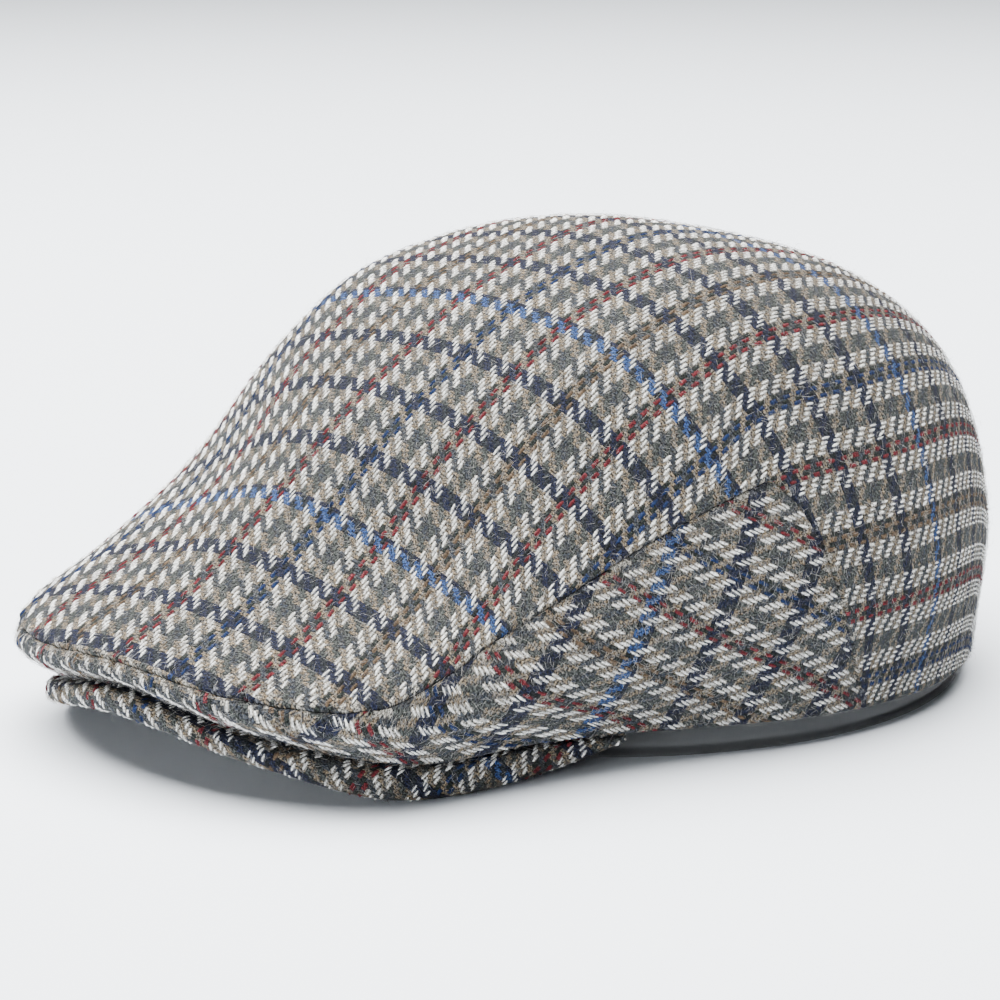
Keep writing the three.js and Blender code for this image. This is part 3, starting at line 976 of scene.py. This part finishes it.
class Tweed(NodeMaker):
    """Brushed wool twill. Every thread has its colour from the check and a rounded section where
    it lies on top, under a tangle of fine fibres that is thickest on the weft. Raised is for the
    floats of the warp, which stand on the rest."""

    def __init__(self, name, raised):
        super().__init__(name)
        uv = self.node("ShaderNodeUVMap", uv_map="threads")
        where = self.node("ShaderNodeSeparateXYZ")
        self.put(where.inputs[0], uv.outputs[0])
        self.place = [self.math("MULTIPLY", where.outputs[axis], THREADS_PER_UV) for axis in "XY"]
        self.threads = [self.wander(*pair) for pair in zip(self.place, WANDER_NOISES)]
        self.warp = self.math("FLOOR", self.threads[0])
        ground = WARP_GROUND if raised else UNDER_WARP_GROUND
        warp_color = check_color(self, self.warp, ground, WARP_LINES, WARP_LINE_THREADS)
        grain = self.field("grain")
        look = self.raised_look if raised else self.woven_look
        color, light, height, fibre_share = look(warp_color, grain)
        light = self.math("MULTIPLY", light, self.field("broad_shades"))
        color = self.multiply_colors(color, self.vector(light, light, light))
        tangle = self.tangle()
        fibre_color = self.mix_color(1, color, color, blend="ADD")
        fibre_color = self.mix_color(1, fibre_color, FIBRE_GLOW, blend="ADD")
        color = self.mix_color(self.math("MULTIPLY", tangle, fibre_share), color, fibre_color)
        grain_relief = self.math("MULTIPLY", grain, RAISED_GRAIN_RELIEF if raised else GRAIN_RELIEF)
        rough = self.math("MULTIPLY_ADD", tangle, FIBRE_RELIEF, grain_relief)
        bump = self.node("ShaderNodeBump")
        bump.inputs["Strength"].default_value = 1
        bump.inputs["Distance"].default_value = RELIEF_DEPTH * MM
        self.put(bump.inputs["Height"], self.math("ADD", rough, height))
        self.surface({"Base Color": color, "Normal": bump.outputs[0], **TWEED_SURFACE})

    def cloth_noise(self, noise):
        seed, *settings = noise
        return self.noise(self.vector(*self.place, seed), *settings)

    def wander(self, position, noise):
        """A thread count that wanders a little."""
        off = self.math("SUBTRACT", self.cloth_noise(noise), 0.5)
        return self.math("MULTIPLY_ADD", off, THREAD_WANDER, position)

    def field(self, name):
        """A noise pulled away from its middle by the gain, then kept within its limits."""
        noise, (middle, gain, least, most) = FIELDS[name]
        pulled = self.math("MULTIPLY_ADD", self.cloth_noise(noise), gain, middle - gain / 2)
        return self.math("MINIMUM", self.math("MAXIMUM", pulled, least), most)

    def multiply_colors(self, a, b):
        return self.mix_color(1, a, b, blend="MULTIPLY")

    def raised_look(self, warp_color, grain):
        """Colour, light, height and share of fibres on the floats, with their twisted plies."""
        ply = self.math("MULTIPLY_ADD", self.place[0], PLY_SLOPE, self.place[1])
        twist = self.math("SINE", self.math("MULTIPLY", ply, 2 * math.pi * PLIES_PER_THREAD))
        height = self.math("MULTIPLY", twist, PLY_HEIGHT)
        twist_light = self.math("ADD", height, 1 - PLY_HEIGHT)
        light = self.math("MULTIPLY", self.mix(RAISED_GRAIN, 1, grain), twist_light)
        light = self.math("MULTIPLY", light, self.field("float_shades"))
        return warp_color, light, height, RAISED_FIBRES

    def woven_look(self, warp_color, grain):
        """Colour, light, height and share of fibres on the weave under the floats."""
        s, t = self.threads
        weft = self.math("FLOOR", t)
        phase = self.math("FLOORED_MODULO", self.math("ADD", self.warp, weft), TWILL)
        warp_on_top = self.math("LESS_THAN", phase, TWILL / 2 - 0.5)
        warp_run = self.math("FLOORED_MODULO", self.math("ADD", t, self.warp), TWILL)
        weft_run = self.math("FLOORED_MODULO", self.math("ADD", s, weft), TWILL)
        weft_run = self.math("SUBTRACT", weft_run, TWILL / 2)
        warp_height = thread_section(self, s, self.math("DIVIDE", warp_run, TWILL / 2), WARP_GAP)
        weft_height = thread_section(self, t, self.math("DIVIDE", weft_run, TWILL / 2), WEFT_GAP)
        height = self.mix(warp_on_top, self.math("MULTIPLY", weft_height, WEFT_HEIGHT), warp_height)
        weft_color = check_color(self, weft, WEFT_GROUND, WEFT_LINES, WEFT_LINE_THREADS)
        heather = self.mix_color(self.field("heather"), COOL_TINT, WARM_TINT)
        weft_color = self.multiply_colors(weft_color, heather)
        # Between the floats the warp is painted darker where the weft band is dark, a painted shade
        in_check = self.math("FLOORED_MODULO", weft, CHECK)
        in_dark_band = self.math("LESS_THAN", in_check, BAND - 0.5)
        shaded_warp = self.multiply_colors(warp_color, DARK_BAND_SHADE)
        warp_color = self.mix_color(in_dark_band, warp_color, shaded_warp)
        color = self.mix_color(warp_on_top, weft_color, warp_color)
        hollow = self.mix(warp_on_top, WEFT_HOLLOW, WARP_HOLLOW)
        light = self.math("MULTIPLY", grain, self.mix(height, hollow, 1))
        return color, light, height, self.mix(warp_on_top, WEFT_FIBRES, WARP_FIBRES)

    def tangle(self):
        """A tangle of fine fibres, thick in patches."""
        tangle = 0
        for noise in FIBRE_TANGLES:
            off_line = self.math("ABSOLUTE", self.math("SUBTRACT", self.cloth_noise(noise), 0.5))
            fibre = self.math("MULTIPLY_ADD", off_line, -1 / FIBRE_WIDTH, 1)
            tangle = self.math("MAXIMUM", tangle, self.math("MAXIMUM", fibre, 0))
        return self.math("MULTIPLY", tangle, self.field("tangle_patches"))


def wool_hair_material(name, color):
    make = NodeMaker(name)
    deep = tuple(part * HAIR_SHADE for part in color[:3]) + (1,)
    tint = make.object_noise(HAIR_TINT_SCALE, detail=1)
    make.surface({"Base Color": make.mix_color(tint, deep, color), **HAIR_SURFACE})
    return make.material


def clear_plastic_material():
    """Clear plastic, slightly smoked by the light it scatters, with a soft gloss; its dark grey is
    partly painted shade that stands for the cap's dark inside seen through the wall.
    """
    make = NodeMaker("clear_plastic")
    smudge = make.object_noise(PLASTIC_SMUDGE_SCALE, detail=4)
    make.surface({
        "Base Color": make.mix_color(smudge, *PLASTIC_COLORS),
        "Roughness": make.ranged(smudge, *PLASTIC_ROUGHNESS),
        "Alpha": make.ranged(smudge, *PLASTIC_ALPHA),
        "IOR": PLASTIC_IOR,
    })
    return make.material


# The studio


def make_stage():
    floor = bpy.data.meshes.new("table")
    signs = ((-1, -1), (1, -1), (1, 1), (-1, 1))
    corners = [(x * TABLE_HALF_WIDTH, y * TABLE_HALF_WIDTH, 0) for x, y in signs]
    floor.from_pydata(corners, [], [(0, 1, 2, 3)])
    table = bpy.data.objects.new("table", floor)
    bpy.context.scene.collection.objects.link(table)
    make = NodeMaker("pale_table")
    make.surface(TABLE_SURFACE)
    floor.materials.append(make.material)


def area_light(name, place, size, power, color):
    lamp = bpy.data.lights.new(name, "AREA")
    lamp.size = size
    lamp.energy = power
    lamp.color = color
    light = bpy.data.objects.new(name, lamp)
    bpy.context.scene.collection.objects.link(light)
    light.location = place
    light.rotation_euler = (Vector(LIGHT_TARGET) - light.location).to_track_quat("-Z", "Y").to_euler()


def make_lights():
    world = bpy.data.worlds.new("room")
    bpy.context.scene.world = world
    world.use_nodes = True
    for name, value in ROOM.items():
        world.node_tree.nodes["Background"].inputs[name].default_value = value
    for name, lamp in LIGHTS.items():
        area_light(name, *lamp)


def make_camera():
    azimuth = math.radians(CAMERA_AZIMUTH)
    elevation = math.radians(CAMERA_ELEVATION)
    backward = Vector((
        math.sin(azimuth) * math.cos(elevation),
        -math.cos(azimuth) * math.cos(elevation),
        math.sin(elevation),
    ))
    lens = bpy.data.cameras.new("camera")
    lens.lens = CAMERA_LENS
    lens.sensor_width = 36
    lens.clip_start = 0.05
    lens.clip_end = 20
    camera = bpy.data.objects.new("camera", lens)
    bpy.context.scene.collection.objects.link(camera)
    camera.location = (Vector(CAMERA_TARGET) + backward * CAMERA_DISTANCE) * MM
    camera.rotation_euler = (-backward).to_track_quat("-Z", "Y").to_euler()
    bpy.context.scene.camera = camera


make_camera()
make_lights()
make_stage()
tweed = Tweed("tweed", raised=False).material
raised_tweed = Tweed("raised_tweed", raised=True).material
hair_materials = {
    shade: wool_hair_material(f"{shade}_wool", color) for shade, color in HAIR_COLORS.items()
}
random = np.random.default_rng(RANDOM_SEED)
panels = {
    "top_panel": top_cloth(),
    "side_panel_left": side_cloth(1),
    "side_panel_right": side_cloth(-1),
    "peak": Peak(),
}
for node, cloth in panels.items():
    new_object(cloth.mesh(f"{node}_cloth"), tweed, [node])
    finder = ThreadFinder(cloth)
    new_object(warp_floats(f"{node}_warp", finder, random), raised_tweed)
    for shade, material in hair_materials.items():
        hairs = loose_hairs(f"{node}_{shade}_hairs", finder, HAIR_COUNTS[node], random)
        new_object(hairs, material)
new_object(ring_mesh("clear_ring_wall"), clear_plastic_material(), ["clear_ring"])
